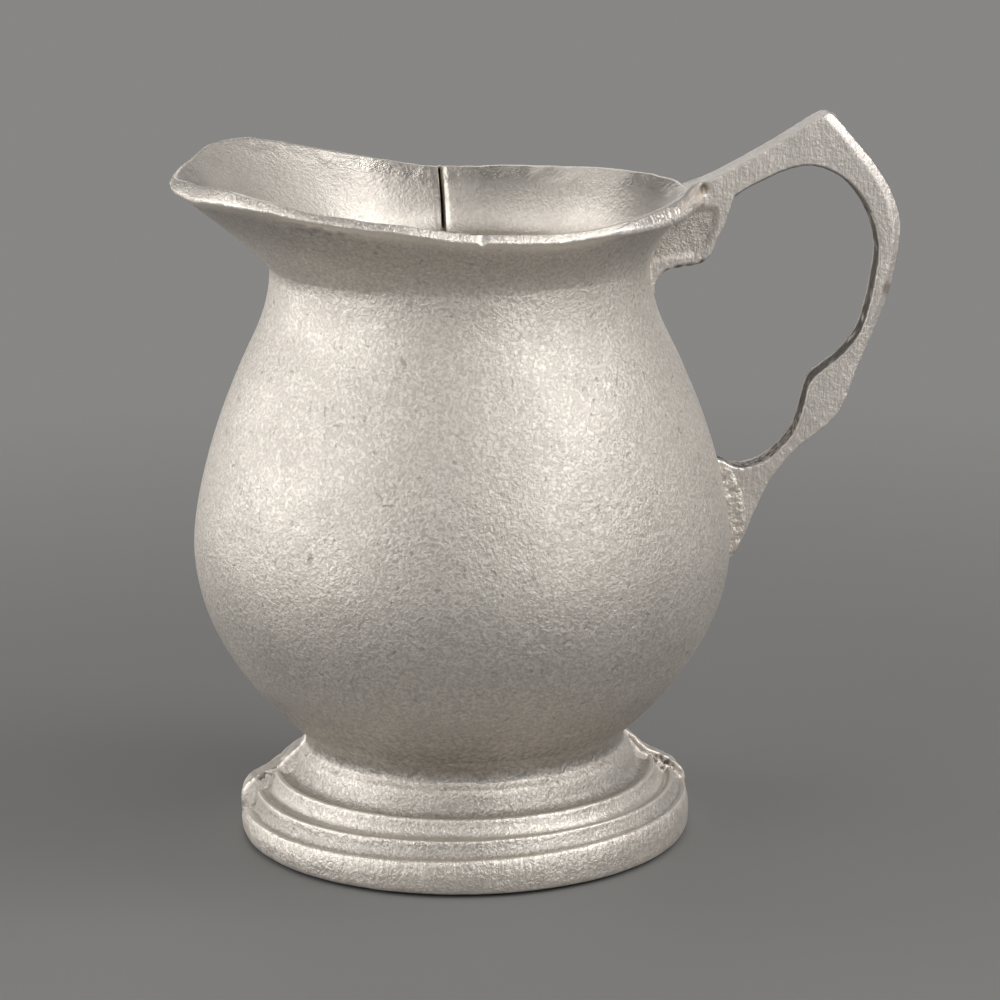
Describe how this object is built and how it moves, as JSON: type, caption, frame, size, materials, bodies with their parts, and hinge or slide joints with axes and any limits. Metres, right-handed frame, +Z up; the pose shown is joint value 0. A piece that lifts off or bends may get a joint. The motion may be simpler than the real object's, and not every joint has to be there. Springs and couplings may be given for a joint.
{
  "type": "creamer jug",
  "caption": "Small cast pewter creamer with a round belly, a wide flared pouring lip, a stepped foot and an open flat handle with a thumb peak.",
  "frame": {"origin": "centre of the foot's resting face, on the jug's upright axis", "axes": "+Z up, spout towards -X, handle towards +X, +Y to the jug's far side"},
  "size_m": [0.1016, 0.0758, 0.1023],
  "materials": {
    "pewter": "satin, tumbled, fine scratches and darker patina",
    "cast_pewter": "satin faces and rough as-cast edges",
    "solder": "dull, lumpy where left uncleaned"
  },
  "bodies": {
    "root": {"spout_shell": "pewter", "handle_shell": "pewter", "shell_seam_solder": "solder", "floor_disc": "pewter", "near_foot_half": "pewter", "far_foot_half": "pewter", "foot_seam_solder": "solder", "bowl_joint_solder": "solder", "handle": "cast_pewter", "upper_handle_solder": "solder", "lower_handle_solder": "solder"}
  },
  "joints": []
}
